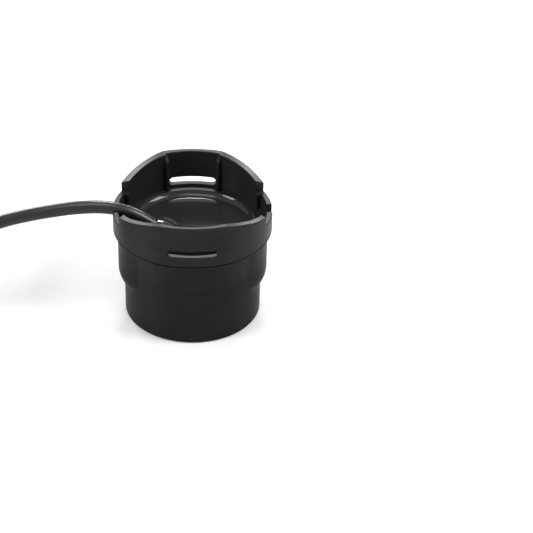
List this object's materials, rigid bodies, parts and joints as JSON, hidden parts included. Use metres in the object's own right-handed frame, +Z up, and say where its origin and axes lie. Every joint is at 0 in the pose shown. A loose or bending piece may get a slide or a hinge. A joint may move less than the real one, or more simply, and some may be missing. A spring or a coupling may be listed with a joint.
{
  "type": "sonar transducer",
  "caption": "Ice-fishing sonar transducer: round moulded cup with a potted piezo element, saddle-rimmed collar with strap slots and cable notches, round cable and plug with locking ring.",
  "frame": {"origin": "centre of the cup's flat underside, the acoustic window", "axes": "+Z up along the cup's axis, -Y the front panel, -X the notch that the cable leaves by"},
  "size_m": [0.2528, 0.106, 0.0679],
  "materials": {
    "housing_plastic": "fine satin moulding",
    "potting_resin": "glossy cast resin",
    "piezo_ceramic": "silvered ceramic",
    "cork": "pressed cork",
    "wire_red": "satin insulation",
    "wire_black": "satin insulation",
    "wire_white": "satin insulation",
    "board": "solder mask",
    "ferrite": "fired ferrite",
    "winding": "enamelled copper wire",
    "anchor_metal": "crimped sleeve",
    "drain_metal": "tinned wire",
    "cable_jacket": "smooth satin jacket",
    "tie_fabric": "hook and loop strap",
    "boot_rubber": "matte moulded boot",
    "plug_plastic": "fine satin moulding",
    "insert_plastic": "satin moulding",
    "contact_gold": "gold-plated",
    "seal_rubber": "moulded seal",
    "clip_steel": "spring steel",
    "ring_plastic": "fine satin moulding"
  },
  "bodies": {
    "transducer": {"housing": "housing_plastic", "potting": "potting_resin", "piezo_disc": "piezo_ceramic", "isolation_ring": "cork", "backing_disc": "cork", "live_lead": "wire_red", "return_lead": "wire_black", "circuit_board": "board", "transformer_core": "ferrite", "transformer_winding": "winding", "cable_stub": "cable_jacket", "cable_anchor": "anchor_metal", "live_core": "wire_white", "return_core": "wire_black", "drain_wire": "drain_metal", "cable_run": "cable_jacket", "cable_coil": "cable_jacket", "cable_tie": "tie_fabric", "plug_lead": "cable_jacket", "plug_boot": "boot_rubber", "plug_body": "plug_plastic", "plug_insert": "insert_plastic", "contact_pins": "contact_gold", "plug_seal": "seal_rubber", "retaining_clip": "clip_steel"},
    "locking_ring": {"locking_ring": "ring_plastic"}
  },
  "joints": [
    {"name": "ring_turn", "type": "hinge", "parent": "transducer", "child": "locking_ring", "pos_m": [-0.205, 0.0408, 0.0497], "axis": [0, 1, 0], "continuous": true}
  ]
}
